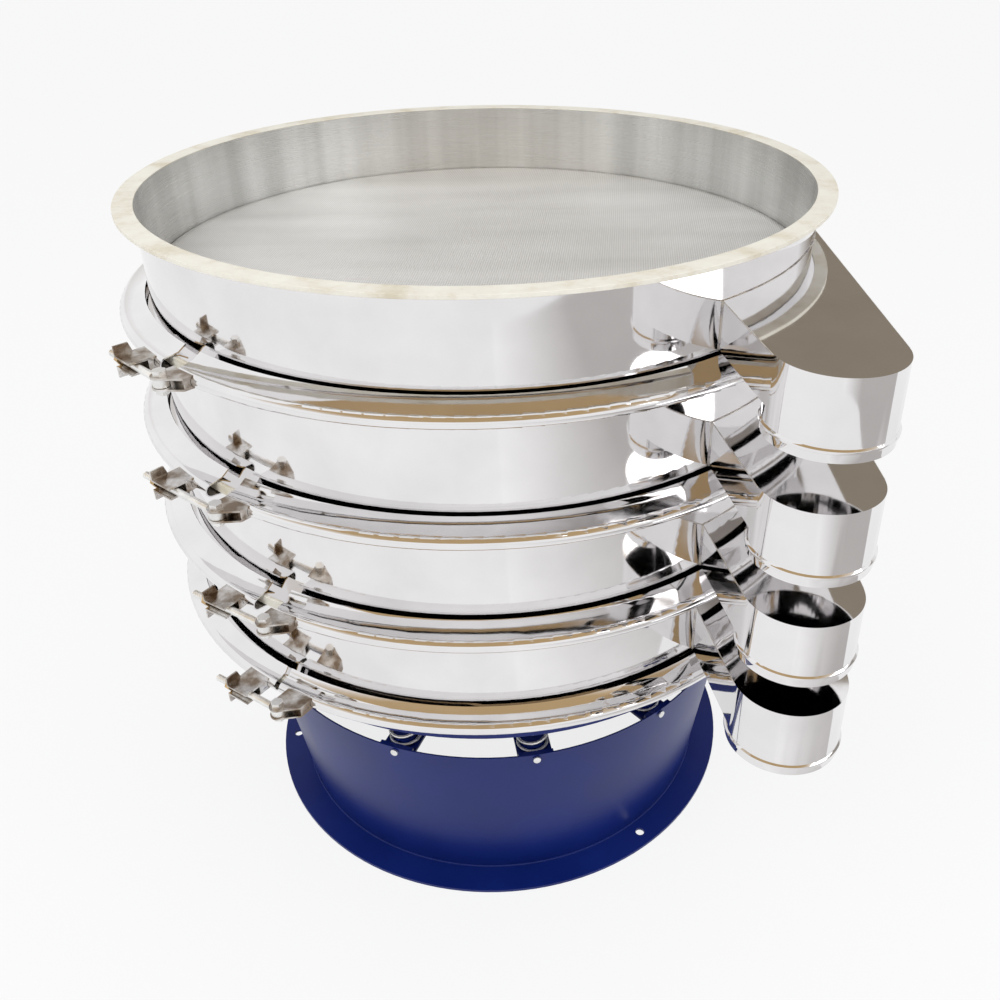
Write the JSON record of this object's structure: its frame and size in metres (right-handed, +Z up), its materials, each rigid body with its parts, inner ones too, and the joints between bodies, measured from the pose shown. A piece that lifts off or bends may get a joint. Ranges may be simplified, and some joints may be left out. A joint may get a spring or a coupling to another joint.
{
  "type": "vibrating sieve",
  "caption": "Round three-deck vibrating sieve with stacked stainless frames, band clamps, side outlets and a sprung motor base.",
  "frame": {"origin": "on the floor, on the vertical axis of the drum and the screens", "axes": "+Z up along the machine's axis; the four outlets leave along -Y on the +X side; the clamp closures are on the -X, -Y side"},
  "size_m": [1.264, 1.3749, 1.276],
  "materials": {
    "navy_paint": "semi-gloss navy paint",
    "zinc": "bright zinc-plated steel",
    "steel": "plain machined steel",
    "black_plastic": "matt",
    "polished_stainless": "mirror-polished stainless sheet",
    "cream_rubber": "matt food-grade rubber",
    "wire_cloth": "fine woven stainless cloth",
    "brass": "bright, lightly dulled"
  },
  "bodies": {
    "stand": {"base_drum": "navy_paint", "seat_bolts": "zinc", "lower_spring_seats": "navy_paint", "support_springs": "zinc"},
    "vibrating_body": {"motor_bed": "navy_paint", "motor_housing": "navy_paint", "motor_bolts": "zinc", "terminal_box": "navy_paint", "cable_gland": "black_plastic", "upper_spring_seats": "navy_paint", "top_frame": "polished_stainless", "second_frame": "polished_stainless", "third_frame": "polished_stainless", "bottom_frame": "polished_stainless", "spout_1": "polished_stainless", "spout_2": "polished_stainless", "spout_3": "polished_stainless", "spout_4": "polished_stainless", "discharge_dome": "polished_stainless", "rim_gasket": "cream_rubber", "pivot_bolts": "zinc", "deck_gasket_1": "cream_rubber", "deck_gasket_2": "cream_rubber", "deck_gasket_3": "cream_rubber", "deck_gasket_4": "cream_rubber", "screen_ring_1": "polished_stainless", "screen_ring_2": "polished_stainless", "screen_ring_3": "polished_stainless", "screen_cloth_1": "wire_cloth", "screen_cloth_2": "wire_cloth", "screen_cloth_3": "wire_cloth", "clamp_band_1": "polished_stainless", "clamp_band_2": "polished_stainless", "clamp_band_3": "polished_stainless", "clamp_band_4": "polished_stainless", "hook_bracket_1": "polished_stainless", "hook_bracket_2": "polished_stainless", "hook_bracket_3": "polished_stainless", "hook_bracket_4": "polished_stainless", "hinge_bracket_1": "polished_stainless", "hinge_bracket_2": "polished_stainless", "hinge_bracket_3": "polished_stainless", "hinge_bracket_4": "polished_stainless"},
    "rotor": {"motor_shaft": "steel", "upper_weight": "steel", "lower_weight": "steel"},
    "phase_plate": {"phase_weight": "steel"},
    "eye_bolt_1": {"swing_bolt_1": "zinc"},
    "nut_1": {"clamp_nut_1": "brass"},
    "eye_bolt_2": {"swing_bolt_2": "zinc"},
    "nut_2": {"clamp_nut_2": "brass"},
    "eye_bolt_3": {"swing_bolt_3": "zinc"},
    "nut_3": {"clamp_nut_3": "brass"},
    "eye_bolt_4": {"swing_bolt_4": "zinc"},
    "nut_4": {"clamp_nut_4": "brass"}
  },
  "joints": [
    {"name": "suspension", "type": "slide", "parent": "stand", "child": "vibrating_body", "axis": [0, 0, 1], "range_m": [-0.005, 0.005], "stiffness_N_per_m": 150000, "springref_m": 0.0208, "deforming": ["support_springs"]},
    {"name": "rotor_spin", "type": "hinge", "parent": "vibrating_body", "child": "rotor", "pos_m": [0, 0, 0.33], "axis": [0, 0, 1], "continuous": true},
    {"name": "phase_set", "type": "hinge", "parent": "rotor", "child": "phase_plate", "pos_m": [0, 0, 0.252], "axis": [0, 0, 1], "range_deg": [0, 90]},
    {"name": "swing_1", "type": "hinge", "parent": "vibrating_body", "child": "eye_bolt_1", "pos_m": [-0.46429, -0.46264, 1.105], "axis": [0, 0, 1], "range_deg": [0, 100]},
    {"name": "nut_run_1", "type": "slide", "parent": "eye_bolt_1", "child": "nut_1", "axis": [-0.6794, 0.7337, 0], "range_m": [0, 0.014]},
    {"name": "swing_2", "type": "hinge", "parent": "vibrating_body", "child": "eye_bolt_2", "pos_m": [-0.4072, -0.51437, 0.913], "axis": [0, 0, 1], "range_deg": [0, 100]},
    {"name": "nut_run_2", "type": "slide", "parent": "eye_bolt_2", "child": "nut_2", "axis": [-0.7478, 0.6639, 0], "range_m": [0, 0.014]},
    {"name": "swing_3", "type": "hinge", "parent": "vibrating_body", "child": "eye_bolt_3", "pos_m": [-0.35824, -0.54897, 0.726], "axis": [0, 0, 1], "range_deg": [0, 100]},
    {"name": "nut_run_3", "type": "slide", "parent": "eye_bolt_3", "child": "nut_3", "axis": [-0.8151, 0.5793, 0], "range_m": [0, 0.014]},
    {"name": "swing_4", "type": "hinge", "parent": "vibrating_body", "child": "eye_bolt_4", "pos_m": [-0.36289, -0.54661, 0.549], "axis": [0, 0, 1], "range_deg": [0, 100]},
    {"name": "nut_run_4", "type": "slide", "parent": "eye_bolt_4", "child": "nut_4", "axis": [-0.7997, 0.6004, 0], "range_m": [0, 0.014]}
  ],
  "couplings": [
    {"joint": "nut_run_1", "follows": "swing_1", "m_per_rad": 0.008},
    {"joint": "nut_run_2", "follows": "swing_2", "m_per_rad": 0.008},
    {"joint": "nut_run_3", "follows": "swing_3", "m_per_rad": 0.008},
    {"joint": "nut_run_4", "follows": "swing_4", "m_per_rad": 0.008}
  ]
}
